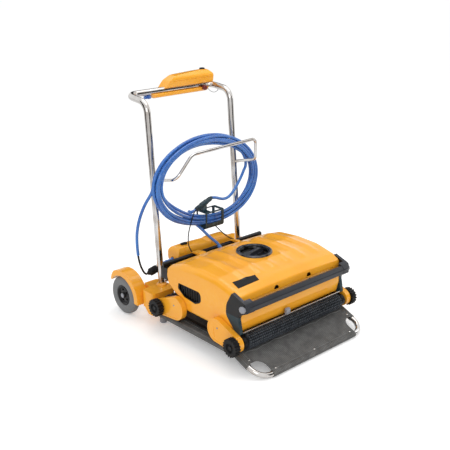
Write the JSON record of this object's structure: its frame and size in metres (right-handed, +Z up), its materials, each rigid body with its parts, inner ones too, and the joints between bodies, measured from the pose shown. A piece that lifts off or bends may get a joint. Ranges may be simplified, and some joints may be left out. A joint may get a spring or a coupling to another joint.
{
  "type": "pool cleaner",
  "caption": "Robotic pool cleaner parked on a wheeled tube caddy with mesh ramp, coiled floating cable on a hook, handlebar control unit and supply housing",
  "frame": {"origin": "on the floor, midway between the right and left climbing wheels and midway between the caddy's toe and its rearmost wheel guard", "axes": "+X to the right seen from behind the caddy, +Y to the rear, +Z up"},
  "size_m": [0.8455, 1.0956, 1.1975],
  "materials": {
    "yellow_plastic": "glossy moulded, warm yellow",
    "black_plastic": "satin black",
    "black_rubber": "matt black",
    "grey_tyre": "matt mid grey",
    "polished_tube": "polished stainless tube",
    "grey_plastic": "satin light grey",
    "mesh_fabric": "woven dark grey mesh",
    "blue_plastic": "satin blue",
    "teal_plastic": "satin dark teal",
    "red_plastic": "satin dark red"
  },
  "bodies": {
    "caddy": {"caddy_hoop": "polished_tube", "rail_frame": "polished_tube", "mesh_sheet": "mesh_fabric", "cable_hook": "polished_tube", "rear_cross_tube": "polished_tube", "wheel_axle": "polished_tube", "corner_block_left": "yellow_plastic", "corner_block_right": "yellow_plastic", "leg_left": "grey_plastic", "leg_right": "grey_plastic", "fender_left": "yellow_plastic", "fender_right": "yellow_plastic", "control_shell": "yellow_plastic", "control_lip": "yellow_plastic", "control_socket": "blue_plastic", "supply_box": "yellow_plastic", "supply_plug": "blue_plastic", "coupling_body": "black_rubber", "robot_hull": "yellow_plastic", "robot_lid": "yellow_plastic", "handle_front": "black_plastic", "handle_rear": "black_plastic", "arm_front_left": "yellow_plastic", "arm_front_right": "yellow_plastic", "arm_rear_left": "yellow_plastic", "arm_rear_right": "yellow_plastic", "belt_left": "black_rubber", "belt_right": "black_rubber", "side_grip_left": "black_plastic", "side_grip_right": "black_plastic", "handle_cap_left": "grey_plastic", "handle_cap_right": "grey_plastic", "outlet_ring": "black_plastic", "drive_unit": "grey_plastic", "cable_inlet": "blue_plastic", "brush_guard": "polished_tube", "panel_clip": "grey_plastic", "cable_coil": "blue_plastic", "robot_lead": "blue_plastic", "supply_lead": "blue_plastic", "supply_sleeve": "black_rubber", "strap_clip": "teal_plastic", "tie_left": "black_plastic", "tie_right": "black_plastic", "lanyard": "black_plastic"},
    "wheel_left": {"tyre_left": "grey_tyre", "rim_left": "black_plastic"},
    "wheel_right": {"tyre_right": "grey_tyre", "rim_right": "black_plastic"},
    "brush_roller_front": {"brush_front": "black_rubber", "climber_front_left": "black_rubber", "climber_front_right": "black_rubber"},
    "brush_roller_rear": {"brush_rear": "black_rubber", "climber_rear_left": "black_rubber", "climber_rear_right": "black_rubber"},
    "propeller": {"propeller": "black_plastic"},
    "outlet_cap": {"outlet_cap": "black_plastic"},
    "control_button": {"control_button": "black_rubber"},
    "supply_button": {"supply_button": "black_rubber"},
    "lock_knob": {"lock_knob": "red_plastic"}
  },
  "joints": [
    {"name": "wheel_left_spin", "type": "hinge", "parent": "caddy", "child": "wheel_left", "pos_m": [-0.378, 0.43449, 0.1], "axis": [1, 0, 0], "continuous": true},
    {"name": "wheel_right_spin", "type": "hinge", "parent": "caddy", "child": "wheel_right", "pos_m": [0.378, 0.43449, 0.1], "axis": [1, 0, 0], "continuous": true},
    {"name": "brush_front_spin", "type": "hinge", "parent": "caddy", "child": "brush_roller_front", "pos_m": [0, -0.39451, 0.133], "axis": [1, 0, 0], "continuous": true},
    {"name": "brush_rear_spin", "type": "hinge", "parent": "caddy", "child": "brush_roller_rear", "pos_m": [0, 0.14949, 0.133], "axis": [1, 0, 0], "continuous": true},
    {"name": "propeller_spin", "type": "hinge", "parent": "caddy", "child": "propeller", "pos_m": [0, -0.12101, 0.358], "axis": [0, 0, 1], "continuous": true},
    {"name": "outlet_cap_turn", "type": "hinge", "parent": "caddy", "child": "outlet_cap", "pos_m": [0, -0.12101, 0.39], "axis": [0, 0, 1], "range_deg": [0, 90]},
    {"name": "control_button_press", "type": "slide", "parent": "caddy", "child": "control_button", "axis": [0, 0, -1], "range_m": [0, 0.003], "stiffness_N_per_m": 400, "springref_m": -0.001},
    {"name": "supply_button_press", "type": "slide", "parent": "caddy", "child": "supply_button", "axis": [0, 0, -1], "range_m": [0, 0.003], "stiffness_N_per_m": 400, "springref_m": -0.001},
    {"name": "lock_knob_turn", "type": "hinge", "parent": "caddy", "child": "lock_knob", "pos_m": [0.206, 0.47549, 1.096], "axis": [0, -1, 0], "range_deg": [0, 90]}
  ],
  "couplings": [
    {"joint": "brush_rear_spin", "follows": "brush_front_spin", "ratio": 1}
  ]
}
